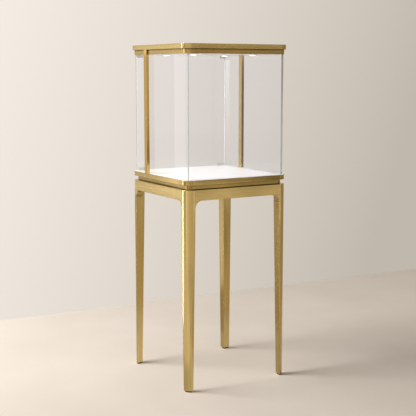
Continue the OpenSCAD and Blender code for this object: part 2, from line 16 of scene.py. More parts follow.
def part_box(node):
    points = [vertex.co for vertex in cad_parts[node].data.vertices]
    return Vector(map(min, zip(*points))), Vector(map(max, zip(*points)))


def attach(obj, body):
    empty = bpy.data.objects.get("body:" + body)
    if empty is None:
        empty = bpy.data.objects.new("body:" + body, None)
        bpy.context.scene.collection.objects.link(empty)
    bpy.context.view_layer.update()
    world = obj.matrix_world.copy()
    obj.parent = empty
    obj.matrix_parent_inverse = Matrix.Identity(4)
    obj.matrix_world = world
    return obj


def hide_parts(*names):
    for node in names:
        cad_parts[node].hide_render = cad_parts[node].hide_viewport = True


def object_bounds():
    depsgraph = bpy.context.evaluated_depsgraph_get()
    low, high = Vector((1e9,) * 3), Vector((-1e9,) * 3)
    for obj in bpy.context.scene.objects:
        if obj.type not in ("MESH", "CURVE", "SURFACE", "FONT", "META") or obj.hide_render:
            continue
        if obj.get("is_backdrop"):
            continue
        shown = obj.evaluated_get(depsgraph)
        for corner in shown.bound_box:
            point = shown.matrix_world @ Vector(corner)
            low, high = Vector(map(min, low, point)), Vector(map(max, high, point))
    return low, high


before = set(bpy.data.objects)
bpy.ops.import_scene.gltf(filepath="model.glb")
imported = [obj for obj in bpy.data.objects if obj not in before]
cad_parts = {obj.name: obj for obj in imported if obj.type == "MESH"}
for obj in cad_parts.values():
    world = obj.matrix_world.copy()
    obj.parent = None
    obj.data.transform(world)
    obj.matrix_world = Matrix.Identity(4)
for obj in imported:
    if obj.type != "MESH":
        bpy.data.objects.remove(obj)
solids_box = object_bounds()
print("parts of the packed model:", len(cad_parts))

# %% [markdown]
# ## The camera
# The photograph was taken from the front left, a little above the deck. The place and the lens come from
# fitting a level camera to the case's edges and then tilting it down until the case fills the same part of
# the picture. A tilted camera without shift was chosen because the other views keep the shift of this one.

# %% Camera
CAMERA_YAW = math.radians(30.725)
CAMERA_TILT = math.radians(8.258)
CAMERA_AWAY = 3.7248
CAMERA_UP = 1.2017
SENSOR_MM = 36
LENS_MM = 81.79
view_along = Vector((math.sin(CAMERA_YAW), math.cos(CAMERA_YAW), 0))
camera_data = bpy.data.cameras.new("camera")
camera_data.sensor_width = SENSOR_MM
camera_data.lens = LENS_MM
camera = bpy.data.objects.new("camera", camera_data)
camera.location = -view_along * CAMERA_AWAY + Vector((0, 0, CAMERA_UP))
camera.rotation_euler = (math.pi / 2 - CAMERA_TILT, 0, -CAMERA_YAW)
bpy.context.scene.collection.objects.link(camera)
bpy.context.scene.camera = camera
print("camera at", [round(v, 3) for v in camera.location])

# %% [markdown]
# ## Nodes and colours
# Every finish below is a small node tree. One function adds a node with its settings and links, one turns
# the sRGB hex value of a paint chart into the linear light that the renderer works in, and one puts a finish
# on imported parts. A noise texture gives most of its values between 0.3 and 0.7, so that span is stretched to
# the range that a finish asks for.


# %% Node and colour helpers
NOISE_SPAN = (0.3, 0.7)


def linear(hex_colour):
    parts = [int(hex_colour[i : i + 2], 16) / 255 for i in (1, 3, 5)]
    return tuple(c / 12.92 if c <= 0.04045 else ((c + 0.055) / 1.055) ** 2.4 for c in parts) + (1.0,)


def add(tree, kind, inputs=None, **settings):
    made = tree.nodes.new(kind)
    for name, value in settings.items():
        setattr(made, name, value)
    for name, value in (inputs or {}).items():
        if isinstance(value, bpy.types.NodeSocket):
            tree.links.new(value, made.inputs[name])
        else:
            made.inputs[name].default_value = value
    return made


def new_finish(name):
    finish = bpy.data.materials.new(name)
    finish.use_nodes = True
    finish.node_tree.nodes.clear()
    place = add(finish.node_tree, "ShaderNodeTexCoord").outputs["Object"]
    return finish, finish.node_tree, place


def stretched(tree, place, lines_per_metre):
    return add(tree, "ShaderNodeVectorMath", {0: place, 1: lines_per_metre}, operation="MULTIPLY").outputs[0]


def between(tree, value, low, high):
    span = {"Value": value, "From Min": NOISE_SPAN[0], "From Max": NOISE_SPAN[1],
            "To Min": low, "To Max": high}
    return add(tree, "ShaderNodeMapRange", span).outputs["Result"]


def put_on(finish, parts):
    for part in parts.split():
        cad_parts[part].data.materials.clear()
        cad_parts[part].data.materials.append(finish)


print("brass tone in linear light:", [round(v, 3) for v in linear("#D1BA7E")[:3]])

# %% [markdown]
# ## Brushed, brass-toned stainless steel
# The real sheet is stainless steel, ground with a fine belt and then coated in a vacuum chamber, which
# gives the gold tone and keeps the grinding lines. The lines catch light as a streak across them, so the
# shader is a metal with some anisotropy, and its colour, roughness and height follow one streak pattern.
# A real line is about 0.1 mm wide. That is too fine for the picture, so the pattern has lines 0.4 mm apart
# and, drawn coarser than life, lines 3.7 mm apart that show from a step away. Which way the lines run is set
# for each piece: up the legs and posts, and along the bands and rails. The Bevel node rounds the sharp CAD
# edges by 1.5 mm in the light. Where pieces meet closely, under an arch or in a slot, little of the room is
# mirrored, so shade is painted there: the colour goes towards a deep brown by ambient occlusion. This painted
# shade fades out down the legs, so that the floor doesn't darken the feet.

# %% Brushed brass-toned steel
COARSE_LINES = (270, 2)  # lines in a metre across the grinding and along it
FINE_LINES = (2600, 12)
EDGE_ROUNDING = 0.0015
# painted shade: the deep brown that close corners, arches and slots are darkened towards
PAINTED_SHADE_BROWN = "#4E3A1B"
FADES_DOWN_LEGS = (0.35, 0.6)


def brushed_steel(name, light_tone, dark_tone, across, roughness, painted_shade=()):
    finish, tree, place = new_finish(name)
    coarse_place = stretched(tree, place, [COARSE_LINES[0] if a else COARSE_LINES[1] for a in across])
    coarse = add(tree, "ShaderNodeTexNoise", {"Vector": coarse_place, "Scale": 1.0, "Detail": 3.0})
    fine_place = stretched(tree, place, [FINE_LINES[0] if a else FINE_LINES[1] for a in across])
    fine = add(tree, "ShaderNodeTexNoise", {"Vector": fine_place, "Scale": 1.0, "Detail": 2.0})
    cloud = add(tree, "ShaderNodeTexNoise", {"Vector": place, "Scale": 9.0, "Detail": 3.0})
    lines = add(tree, "ShaderNodeMix", {"Factor": 0.45, "A": coarse.outputs["Fac"], "B": fine.outputs["Fac"]})
    tone = add(tree, "ShaderNodeMix",
               {"Factor": between(tree, lines.outputs["Result"], 0.0, 1.0),
                "A": linear(dark_tone), "B": linear(light_tone)}, data_type="RGBA")
    hazed = add(tree, "ShaderNodeMix",
                {"Factor": between(tree, cloud.outputs["Fac"], 0.0, 0.14),
                 "A": tone.outputs["Result"], "B": linear(dark_tone)}, data_type="RGBA")
    shaded = hazed.outputs["Result"]
    height = add(tree, "ShaderNodeSeparateXYZ", {"Vector": place}).outputs["Z"]
    # painted shade: ambient occlusion darkens the colour towards deep brown where parts meet closely
    for reach, closed, open_from, most in painted_shade:
        occluded = add(tree, "ShaderNodeAmbientOcclusion", {"Distance": reach}, samples=8)
        how_deep = add(tree, "ShaderNodeMapRange",
                       {"Value": occluded.outputs["AO"], "From Min": closed, "From Max": open_from,
                        "To Min": most, "To Max": 0.0})
        off_floor = add(tree, "ShaderNodeMapRange",
                        {"Value": height, "From Min": FADES_DOWN_LEGS[0], "From Max": FADES_DOWN_LEGS[1]})
        dimmed = add(tree, "ShaderNodeMath", {0: how_deep.outputs["Result"], 1: off_floor.outputs["Result"]},
                     operation="MULTIPLY")
        shaded = add(tree, "ShaderNodeMix",
                     {"Factor": dimmed.outputs["Value"], "A": shaded, "B": linear(PAINTED_SHADE_BROWN)},
                     data_type="RGBA").outputs["Result"]
    gloss = add(tree, "ShaderNodeMath",
                {0: between(tree, lines.outputs["Result"], roughness - 0.05, roughness + 0.06),
                 1: between(tree, cloud.outputs["Fac"], -0.02, 0.05)}, operation="ADD")
    edge = add(tree, "ShaderNodeBevel", {"Radius": EDGE_ROUNDING}, samples=6)
    grind = add(tree, "ShaderNodeBump",
                {"Strength": 0.12, "Distance": 0.0004, "Height": lines.outputs["Result"],
                 "Normal": edge.outputs["Normal"]})
    around = add(tree, "ShaderNodeTangent", direction_type="RADIAL", axis="Z")
    metal = add(tree, "ShaderNodeBsdfPrincipled",
                {"Base Color": shaded, "Metallic": 1.0, "Roughness": gloss.outputs["Value"],
                 "Anisotropic": 0.45, "Anisotropic Rotation": 0.25 if across[0] else 0.0,
                 "Normal": grind.outputs["Normal"], "Tangent": around.outputs["Tangent"]})
    add(tree, "ShaderNodeOutputMaterial", {"Surface": metal.outputs["BSDF"]})
    return finish


# Painted shade is given as the reach in metres, how closed counts as full, how open as none, and how much
# brown is painted.
UNDER_ARCH_SHADE = ((0.12, 0.5, 0.96, 0.62),)
SEAM_SHADE = ((0.008, 0.65, 0.9, 0.85),)
IN_SLOT_SHADE = ((0.008, 0.6, 0.9, 0.22),)
# How the lines run, given as a 1 for each of the axes x, y and z that they cross
UPRIGHT, LEVEL, FLAT = (1, 1, 0), (0, 0, 1), (0, 1, 1)
# Upright lines: the eye reads a long, straight leg with a soft streak down it.
brass_leg = brushed_steel("brass_toned_steel_brushed_upright", "#DBC791", "#B9A267", UPRIGHT, 0.15,
                          UNDER_ARCH_SHADE)
# The finest lines and the most gloss: thin posts that look drawn, with crisp light and dark sides.
brass_post = brushed_steel("brass_toned_steel_fine_brushed_upright", "#D9BC78", "#C7A962", UPRIGHT, 0.08)
# Level lines that make the two rims of the case look long and calm.
brass_roof = brushed_steel("brass_toned_steel_brushed_level", "#CFB97F", "#AC945B", LEVEL, 0.12)
brass_deck = brushed_steel("brass_toned_steel_polished_level", "#C9B278", "#A99059", LEVEL, 0.1)
# A set-back band, the same steel painted a little deeper in tone as shade, with a painted shade line at its
# seam that makes the roof's rim seem to float.
brass_recess = brushed_steel("brass_toned_steel_brushed_level_recessed", "#BFA96F", "#A08850", LEVEL, 0.12,
                             SEAM_SHADE)
# The band in the slot under the deck: the same steel painted in the deepest tone as shade, so that the slot
# reads as a shadow line.
brass_neck = brushed_steel("brass_toned_steel_brushed_level_in_slot", "#A9945E", "#8C7743", LEVEL, 0.12,
                           IN_SLOT_SHADE)
# Coarser, softer lines: broad rails that look milder than the polished deck band above them.
brass_rail = brushed_steel("brass_toned_steel_coarse_brushed_level", "#CFBB84", "#B39D64", LEVEL, 0.2,
                           UNDER_ARCH_SHADE)
# A plain satin top that only catches the light of the room.
brass_flat = brushed_steel("brass_toned_steel_brushed_flat", "#D3BE8A", "#BFA873", FLAT, 0.22)
for finish, parts in (
    (brass_leg, "leg_front_left leg_front_right leg_rear_left leg_rear_right"),
    (brass_post, "post_left post_right"),
    (brass_roof, "cap_band"),
    (brass_deck, "deck_band"),
    (brass_recess, "lower_band"),
    (brass_neck, "neck_band"),
    (brass_rail, "apron_front apron_rear apron_left apron_right arch_gussets"),
    (brass_flat, "cap_top_plate"),
):
    put_on(finish, parts)
    print(finish.name, "on", parts)

# %% [markdown]
# ## White acrylic
# The deck and the ceiling are cast acrylic sheet, white all through. Cast sheet is nearly flat, with a
# faint orange-peel skin, and in use it gathers hairline wipe marks that only change its gloss.

# %% White acrylic
# It gives the eye a clean, bright, faintly glossy ground for what is on show.
acrylic, tree, place = new_finish("white_cast_acrylic")
peel = add(tree, "ShaderNodeTexNoise", {"Vector": place, "Scale": 260.0, "Detail": 2.0})
wiped = add(tree, "ShaderNodeTexNoise",
            {"Vector": stretched(tree, place, (14, 180, 14)), "Scale": 1.0, "Detail": 4.0})
shade = add(tree, "ShaderNodeMix",
            {"Factor": between(tree, wiped.outputs["Fac"], 0.0, 1.0),
             "A": linear("#FAFAF9"), "B": linear("#FDFDFC")}, data_type="RGBA")
skin = add(tree, "ShaderNodeBump", {"Strength": 0.06, "Distance": 0.0003, "Height": peel.outputs["Fac"]})
sheet = add(tree, "ShaderNodeBsdfPrincipled",
            {"Base Color": shade.outputs["Result"], "IOR": 1.49, "Normal": skin.outputs["Normal"],
             "Roughness": between(tree, wiped.outputs["Fac"], 0.3, 0.34)})
add(tree, "ShaderNodeOutputMaterial", {"Surface": sheet.outputs["BSDF"]})
put_on(acrylic, "deck_panel ceiling_panel")
print("acrylic on the deck and the ceiling")

# %% [markdown]
# ## Hidden and half-hidden stock
# The boards, the neck channels, the base plate, the screws, the cable and the glides are plain trade
# material. They show only from below, from the rear or at an open door, and still get their own grain.


# %% Plain stock finishes
def plain_stock(name, light_tone, dark_tone, grain, metallic, roughness, bump):
    finish, tree, place = new_finish(name)
    speck = add(tree, "ShaderNodeTexNoise",
                {"Vector": stretched(tree, place, grain), "Scale": 1.0, "Detail": 5.0})
    tone = add(tree, "ShaderNodeMix",
               {"Factor": between(tree, speck.outputs["Fac"], 0.0, 1.0),
                "A": linear(dark_tone), "B": linear(light_tone)}, data_type="RGBA")
    relief = add(tree, "ShaderNodeBump",
                 {"Strength": bump, "Distance": 0.0004, "Height": speck.outputs["Fac"]})
    body = add(tree, "ShaderNodeBsdfPrincipled",
               {"Base Color": tone.outputs["Result"], "Metallic": metallic,
                "Roughness": between(tree, speck.outputs["Fac"], roughness - 0.08, roughness + 0.08),
                "Normal": relief.outputs["Normal"]})
    add(tree, "ShaderNodeOutputMaterial", {"Surface": body.outputs["BSDF"]})
    return finish


# Dull and brown, with a fine fibre grain: the eye reads a board where the sheet metal stops.
fibreboard = plain_stock("medium_density_fibreboard", "#C4A77C", "#9F8259", (900, 900, 900), 0.0, 0.8, 0.3)
# Small cold glints that set screws and bolts apart from the warm brass tone.
zinc_steel = plain_stock("zinc_plated_steel", "#C9CBCC", "#A9ABAD", (700, 700, 700), 1.0, 0.32, 0.1)
# A pale grey with drawn lines, so the hidden channels look like bought profile and not like show metal.
aluminium = plain_stock("mill_finish_aluminium", "#D6D7D8", "#BFC1C3", (12, 900, 900), 1.0, 0.36, 0.12)
# Near black and matt: the feet end in a quiet dark line, and leads and sockets stay in the background.
nylon = plain_stock("black_moulded_nylon", "#2B2A28", "#191817", (1100, 1100, 1100), 0.0, 0.55, 0.35)
# Darker and duller than the nylon, so that a seat strip under the glass reads as a soft joint.
rubber = plain_stock("black_extruded_rubber", "#262523", "#171615", (1500, 1500, 60), 0.0, 0.75, 0.25)
# A warm white with a soft sheen: moulded fittings that don't draw the eye under the white ceiling.
abs_white = plain_stock("white_moulded_abs", "#F1F0EC", "#E4E2DC", (1300, 1300, 1300), 0.0, 0.38, 0.2)
# A smoother white, so that the door's shoes melt into the deck and the ceiling.
lacquer = plain_stock("white_satin_lacquered_steel", "#F4F3F0", "#E9E7E3", (600, 600, 600), 0.0, 0.3, 0.12)
for finish, parts in (
    (fibreboard, "cap_core ceiling_board deck_board"),
    (zinc_steel, "post_inserts post_screws frame_bolts deck_screws door_strike lock_cam lock_cylinder"),
    (aluminium, "led_bodies base_plate neck_channel_front neck_channel_rear neck_channel_left "
                "neck_channel_right"),
    (nylon, "glide_front_left glide_front_right glide_rear_left glide_rear_right pivot_bush_bottom "
            "pivot_bush_top led_cable supply_lead power_inlet"),
    (rubber, "glass_seats_deck glass_seats_roof"),
    (abs_white, "led_driver door_catch"),
    (lacquer, "door_shoe_bottom door_shoe_top"),
):
    put_on(finish, parts)
    print(finish.name, "on", len(parts.split()), "parts")

# %% [markdown]
# ## Making pieces
# New pieces are made with bmesh operators, in the place where they are used, so that every object stays at
# the origin as the imported ones do. The operators list corners and faces in an order that changes from run
# to run, and start some quads at the opposite corner, so one function sorts them all. Another hands a
# finished mesh over: it makes the object, gives it its finish, smooths its round faces, hangs it on the body
# it moves with, and hides the imported part that it stands for.


# %% Hand a mesh over
ROUND_BELOW = math.radians(32)


def sort_parts(parts, key):
    rank = {part: number for number, part in enumerate(sorted(parts, key=key))}
    parts.sort(key=rank.get)
    parts.index_update()


def put_in_order(mesh_work):
    sort_parts(mesh_work.verts, lambda corner: tuple(corner.co))
    for face in mesh_work.faces[:]:
        ring, finish_number = face.verts[:], face.material_index
        if len(ring) == 4 and ring[2].index < ring[0].index:
            mesh_work.faces.remove(face)
            mesh_work.faces.new(ring[2:] + ring[:2]).material_index = finish_number
    for parts in (mesh_work.edges, mesh_work.faces):
        sort_parts(parts, lambda part: sorted(corner.index for corner in part.verts))


def hand_over(mesh_work, name, finish, body, stands_for=(), flat=False):
    bmesh.ops.remove_doubles(mesh_work, verts=mesh_work.verts, dist=1e-6)
    bmesh.ops.recalc_face_normals(mesh_work, faces=mesh_work.faces)
    put_in_order(mesh_work)
    mesh = bpy.data.meshes.new(name)
    mesh_work.to_mesh(mesh)
    mesh_work.free()
    if not flat:
        mesh.set_sharp_from_angle(angle=ROUND_BELOW)
    mesh.materials.append(finish)
    piece = bpy.data.objects.new(name, mesh)
    bpy.context.scene.collection.objects.link(piece)
    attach(piece, body)
    if stands_for:
        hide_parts(*stands_for)
    print(name, "has", len(mesh.polygons), "faces")
    return piece


# %% [markdown]
# ## Glass
# The panes are 6 mm low-iron float glass with the anti-reflection coating that display glass often has. The
# shader has no such coating, so a low index of 1.33 stands in for it: 2 % instead of 4 % of the light comes
# back from each face, and the brass posts behind the panes keep their colour. Real glass never has a sharp
# edge: each long edge is ground to a small flat called an arris, and the ends are ground and polished, so
# they look paler than the pane. A pane is drawn as its plan outline, pulled up to its height, and all its
# edges get a 0.5 mm bevel.
# The panes meet in mitres, bonded with a clear adhesive that hardens under ultraviolet light and bends light
# as glass does. The mitre faces therefore let light straight on into the next pane, a little greyed, which
# leaves the thin line that a bonded corner shows. Light from the lamps and from soft surroundings passes
# straight through the panes as well, because a path tracer would otherwise leave the deck too dark.

# %% Clear glass
# It gives the eye clear space with a faint streak and a thin bright or dark line at each edge.
COATED_INDEX = 1.33
glass, tree, place = new_finish("low_iron_float_glass")
wave = add(tree, "ShaderNodeTexNoise",
           {"Vector": stretched(tree, place, (7, 7, 0.9)), "Scale": 1.0, "Detail": 1.0})
roll = add(tree, "ShaderNodeBump", {"Strength": 0.05, "Distance": 0.002, "Height": wave.outputs["Fac"]})
pane_body = add(tree, "ShaderNodeBsdfPrincipled",
                {"Base Color": linear("#FBFCFF"), "Roughness": 0.0, "IOR": COATED_INDEX,
                 "Transmission Weight": 1.0, "Normal": roll.outputs["Normal"]})
through = add(tree, "ShaderNodeBsdfTransparent", {"Color": linear("#FBFCFE")})


def let_light_on(tree, body, open_body):
    path = add(tree, "ShaderNodeLightPath")
    soft = add(tree, "ShaderNodeMath", {0: path.outputs["Is Shadow Ray"], 1: path.outputs["Is Diffuse Ray"]},
               operation="MAXIMUM")
    mixed = add(tree, "ShaderNodeMixShader", {"Fac": soft.outputs["Value"]})
    tree.links.new(body.outputs["BSDF"], mixed.inputs[1])
    tree.links.new(open_body.outputs["BSDF"], mixed.inputs[2])
    add(tree, "ShaderNodeOutputMaterial", {"Surface": mixed.outputs["Shader"]})


let_light_on(tree, pane_body, through)
print("coated glass bends light by", pane_body.inputs["IOR"].default_value)

# %% Ground edge
# Matt and pale beside the clear faces, so that the thickness of a pane can be read.
ground_edge, tree, place = new_finish("ground_and_polished_glass_edge")
wheel = add(tree, "ShaderNodeTexNoise",
            {"Vector": stretched(tree, place, (60, 60, 700)), "Scale": 1.0, "Detail": 3.0})
edge_body = add(tree, "ShaderNodeBsdfPrincipled",
                {"Base Color": linear("#F4F8F6"), "Roughness": between(tree, wheel.outputs["Fac"], 0.22, 0.4),
                 "IOR": 1.52, "Transmission Weight": 0.45})
edge_open = add(tree, "ShaderNodeBsdfTransparent", {"Color": linear("#E4E9E7")})
let_light_on(tree, edge_body, edge_open)

# %% Clear acrylic
# Almost nothing but a soft, slightly rippled glint, so the finger lip is found only when it is looked for.
clear_acrylic, tree, place = new_finish("flame_polished_clear_acrylic")
flow = add(tree, "ShaderNodeTexNoise", {"Vector": place, "Scale": 120.0, "Detail": 2.0})
melt = add(tree, "ShaderNodeBump", {"Strength": 0.15, "Distance": 0.0002, "Height": flow.outputs["Fac"]})
acrylic_body = add(tree, "ShaderNodeBsdfPrincipled",
                   {"Base Color": linear("#FAFCFC"), "IOR": 1.49, "Transmission Weight": 1.0,
                    "Roughness": between(tree, flow.outputs["Fac"], 0.02, 0.08),
                    "Normal": melt.outputs["Normal"]})
acrylic_open = add(tree, "ShaderNodeBsdfTransparent", {"Color": linear("#F4F7F7")})
let_light_on(tree, acrylic_body, acrylic_open)
put_on(clear_acrylic, "door_pull_shoe")
print("clear acrylic on the shoe with the finger lip")

# %% Bonded mitre
# A thin milky line up the corner: it shows that two panes meet there and that no metal holds them.
bonded, tree, place = new_finish("ultraviolet_bonded_mitre")
bubbles = add(tree, "ShaderNodeTexNoise", {"Vector": place, "Scale": 300.0, "Detail": 3.0})
bond_grey = add(tree, "ShaderNodeMix",
                {"Factor": between(tree, bubbles.outputs["Fac"], 0.0, 1.0), "A": linear("#D4D7D6"),
                 "B": linear("#E4E6E5")}, data_type="RGBA")
cured = add(tree, "ShaderNodeBsdfTranslucent", {"Color": bond_grey.outputs["Result"]})
cured_near = add(tree, "ShaderNodeBsdfDiffuse", {"Color": bond_grey.outputs["Result"]})
milky = add(tree, "ShaderNodeMixShader", {"Fac": 0.5})
tree.links.new(cured.outputs["BSDF"], milky.inputs[1])
tree.links.new(cured_near.outputs["BSDF"], milky.inputs[2])
clear = add(tree, "ShaderNodeBsdfTransparent", {"Color": linear("#F4F6F5")})
bond_mix = add(tree, "ShaderNodeMixShader", {"Fac": 0.75})
tree.links.new(clear.outputs["BSDF"], bond_mix.inputs[1])
tree.links.new(milky.outputs["Shader"], bond_mix.inputs[2])
add(tree, "ShaderNodeOutputMaterial", {"Surface": bond_mix.outputs["Shader"]})

# %% Panes and door leaf
ARRIS = 0.0005
GLUE_ROOM = 0.00005
MITRE = math.sqrt(0.5)  # both parts of a mitre face's normal
SMALLEST_MITRE = 0.002  # in square metres, well above the area of a bevel face


def pane(name, plan, bottom, top, body):
    work = bmesh.new()
    outline = work.faces.new([work.verts.new((x, y, bottom)) for x, y in plan])
    pulled = bmesh.ops.extrude_face_region(work, geom=[outline])
    raised = [v for v in pulled["geom"] if isinstance(v, bmesh.types.BMVert)]
    bmesh.ops.translate(work, vec=(0, 0, top - bottom), verts=raised)
    bmesh.ops.bevel(work, geom=list(work.edges), offset=ARRIS, offset_type="OFFSET", affect="EDGES",
                    segments=2, profile=0.5, material=-1, clamp_overlap=True)
    bmesh.ops.recalc_face_normals(work, faces=work.faces)
    big_faces = sorted(work.faces, key=lambda face: -face.calc_area())[:2]
    for face in work.faces:
        mitre = abs(abs(face.normal.x) - MITRE) < 0.001 and abs(abs(face.normal.y) - MITRE) < 0.001
        if mitre and face.calc_area() > SMALLEST_MITRE:
            face.material_index = 2
        elif face not in big_faces:
            face.material_index = 1
    piece = hand_over(work, name + "_polished", glass, body, [name], flat=True)
    piece.data.materials.append(ground_edge)
    piece.data.materials.append(bonded)


low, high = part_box("glass_front")
outer = high.x
inner = -high.y
pane("glass_front", [(-outer + GLUE_ROOM, -outer), (outer - GLUE_ROOM, -outer),
                     (inner - GLUE_ROOM, -inner), (-inner + GLUE_ROOM, -inner)], low.z, high.z, "case")
for side, name in ((-1, "glass_left"), (1, "glass_right")):
    pane(name, [(side * outer, -outer + GLUE_ROOM), (side * outer, outer),
                (side * inner, outer), (side * inner, -inner + GLUE_ROOM)], low.z, high.z, "case")
low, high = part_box("door_glass")
pane("door_glass", [(low.x, low.y), (high.x, low.y), (high.x, high.y), (low.x, high.y)],
     low.z, high.z, "door")

# %% [markdown]
# ## Glazing beads
# Where the panes enter the deck and the roof, a clear silicone bead closes the half-millimetre gap on both
# faces. It is tooled with a wet finger, so it is smooth with a slow unevenness.

# %% Silicone
# A faint grey line where glass goes into the white: the eye reads a sealed joint and not a slot.
silicone, tree, place = new_finish("clear_silicone_bead")
tooled = add(tree, "ShaderNodeTexNoise", {"Vector": place, "Scale": 150.0, "Detail": 2.0})
smoothed = add(tree, "ShaderNodeBump", {"Strength": 0.3, "Distance": 0.0003, "Height": tooled.outputs["Fac"]})
bead_body = add(tree, "ShaderNodeBsdfPrincipled",
                {"Base Color": linear("#DCDEDB"), "IOR": 1.41, "Transmission Weight": 0.4,
                 "Roughness": between(tree, tooled.outputs["Fac"], 0.28, 0.42),
                 "Normal": smoothed.outputs["Normal"]})
add(tree, "ShaderNodeOutputMaterial", {"Surface": bead_body.outputs["BSDF"]})
deck_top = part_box("deck_panel")[1].z
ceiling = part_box("ceiling_panel")[0].z
print("glass shows from", round(deck_top, 4), "to", round(ceiling, 4))

# %% Silicone beads at the deck and the roof
BEAD_WIDE = 0.00045
BEAD_PROUD = 0.0001
BEAD_DEEP_IN_DECK = 0.002
BEAD_DEEP_IN_ROOF = 0.0012


def bead(name, offset, width, z0, z1):
    # A U of three runs beside the panes: out to `offset` from the middle, `width` wide
    work = bmesh.new()
    a, b = offset, offset + width
    plan = [(-b, outer), (-b, -b), (b, -b), (b, outer), (a, outer), (a, -a), (-a, -a), (-a, outer)]
    ring = work.faces.new([work.verts.new((x, y, z0)) for x, y in plan])
    pulled = bmesh.ops.extrude_face_region(work, geom=[ring])
    moved = [v for v in pulled["geom"] if isinstance(v, bmesh.types.BMVert)]
    bmesh.ops.translate(work, vec=(0, 0, z1 - z0), verts=moved)
    hand_over(work, name, silicone, "case")


for place_name, bottom, top in (
    ("deck", deck_top - BEAD_DEEP_IN_DECK, deck_top + BEAD_PROUD),
    ("roof", ceiling - BEAD_PROUD, ceiling + BEAD_DEEP_IN_ROOF),
):
    bead(f"bead_{place_name}_outer", outer, BEAD_WIDE, bottom, top)
    bead(f"bead_{place_name}_inner", inner - BEAD_WIDE, BEAD_WIDE, bottom, top)

# %% [markdown]
# ## Lights
# Each light has a white moulded rim with a rounded lip and a frosted lens set back in it. Both are round,
# so they are turned: half of the cross-section is drawn once and spun round the light's axis. The lens
# gives off light in the shader, and a small lamp under it lights the deck as the real one does.


# %% Turn a profile
def turned(name, profile, centre, finish, body, stands_for=(), axis="Z", steps=48):
    work = bmesh.new()
    points = [work.verts.new((r, 0, h)) for r, h in profile]
    edges = [work.edges.new(pair) for pair in zip(points, points[1:])]
    bmesh.ops.spin(work, geom=points + edges, cent=(0, 0, 0), axis=(0, 0, 1), angle=math.tau, steps=steps,
                   use_merge=True)
    if axis == "Y":
        bmesh.ops.rotate(work, cent=(0, 0, 0), matrix=Matrix.Rotation(-math.pi / 2, 3, "X"), verts=work.verts)
    bmesh.ops.translate(work, vec=centre, verts=work.verts)
    hand_over(work, name, finish, body, stands_for)


# %% Light rims and lenses
# Bright and even, a little warm, with no lamp to be seen in it: the eye reads light and not a fitting.
lit, tree, place = new_finish("frosted_lit_lens")
frost = add(tree, "ShaderNodeTexNoise", {"Vector": place, "Scale": 900.0, "Detail": 2.0})
lens_body = add(tree, "ShaderNodeBsdfPrincipled",
                {"Base Color": linear("#FFFDF7"), "Roughness": between(tree, frost.outputs["Fac"], 0.3, 0.5),
                 "Emission Color": linear("#FFFBF2"), "Emission Strength": 5.0})
add(tree, "ShaderNodeOutputMaterial", {"Surface": lens_body.outputs["BSDF"]})
rim_low, rim_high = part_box("led_rims")
lens_low, lens_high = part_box("led_lenses")
RIM_R = 0.018
light_places = [(x, y) for x in (rim_low.x + RIM_R, rim_high.x - RIM_R)
                for y in (rim_low.y + RIM_R, rim_high.y - RIM_R)]
rim_profile = [(0.0132, rim_high.z), (0.0132, lens_high.z + 0.0001), (0.0151, lens_high.z + 0.0001),
               (0.0151, rim_low.z + 0.0008), (0.0155, rim_low.z + 0.0002), (0.0160, rim_low.z),
               (0.0170, rim_low.z + 0.0001), (0.0177, rim_low.z + 0.0007), (0.0180, rim_low.z + 0.0016),
               (0.0180, rim_high.z), (0.0132, rim_high.z)]
lens_profile = [(0.00001, lens_low.z - 0.0014), (0.0045, lens_low.z - 0.0013), (0.0085, lens_low.z - 0.0010),
                (0.0120, lens_low.z - 0.0005), (0.0142, lens_low.z + 0.0002), (0.0149, lens_low.z + 0.0007),
                (0.0149, lens_high.z), (0.00001, lens_high.z)]
for number, (x, y) in enumerate(light_places, 1):
    turned(f"light_rim_{number}", rim_profile, (x, y, 0), abs_white, "case",
           ["led_rims"] if number == 1 else ())
    turned(f"light_lens_{number}", lens_profile, (x, y, 0), lit, "case",
           ["led_lenses"] if number == 1 else ())
print("lights at", [(round(x, 3), round(y, 3)) for x, y in light_places])

# %% [markdown]
# ## Lock, screws and magnet
# The small hardware at the rear is turned as well. The lock has a chamfered sleeve round its packed plug,
# the shoes of the door have two socket set screws each, and the catch holds a round magnet.

# %% Lock sleeve
lock_low, lock_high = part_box("lock_sleeve")
lock_x = (lock_low.x + lock_high.x) / 2
lock_z = (lock_low.z + lock_high.z) / 2
face_y = lock_high.y
sleeve_profile = [(0.00465, lock_low.y), (0.00585, lock_low.y), (0.00585, face_y - 0.0012),
                  (0.00725, face_y - 0.0012), (0.00725, face_y - 0.0004), (0.0069, face_y),
                  (0.0050, face_y), (0.00465, face_y - 0.0003), (0.00465, lock_low.y)]
turned("lock_sleeve_turned", sleeve_profile, (lock_x, 0, lock_z), zinc_steel, "case",
       ["lock_sleeve"], axis="Y")


# %% Set screws
def set_screw(name, centre, radius, depth, faces_to, body):
    # A round disc is inset, and its middle is pushed in for the socket
    work = bmesh.new()
    bmesh.ops.create_circle(work, cap_ends=True, segments=24, radius=radius)
    face = work.faces[:][0]
    bmesh.ops.inset_individual(work, faces=[face], thickness=radius * 0.42)
    inner_face = min(work.faces, key=lambda f: f.calc_center_median().length + (len(f.verts) != 24))
    pushed = bmesh.ops.extrude_discrete_faces(work, faces=[inner_face])
    bmesh.ops.translate(work, vec=(0, 0, -depth), verts=pushed["faces"][0].verts)
    turn = Vector((0, 0, 1)).rotation_difference(Vector(faces_to)).to_matrix()
    bmesh.ops.rotate(work, cent=(0, 0, 0), matrix=turn, verts=work.verts)
    bmesh.ops.translate(work, vec=centre, verts=work.verts)
    hand_over(work, name, zinc_steel, body)


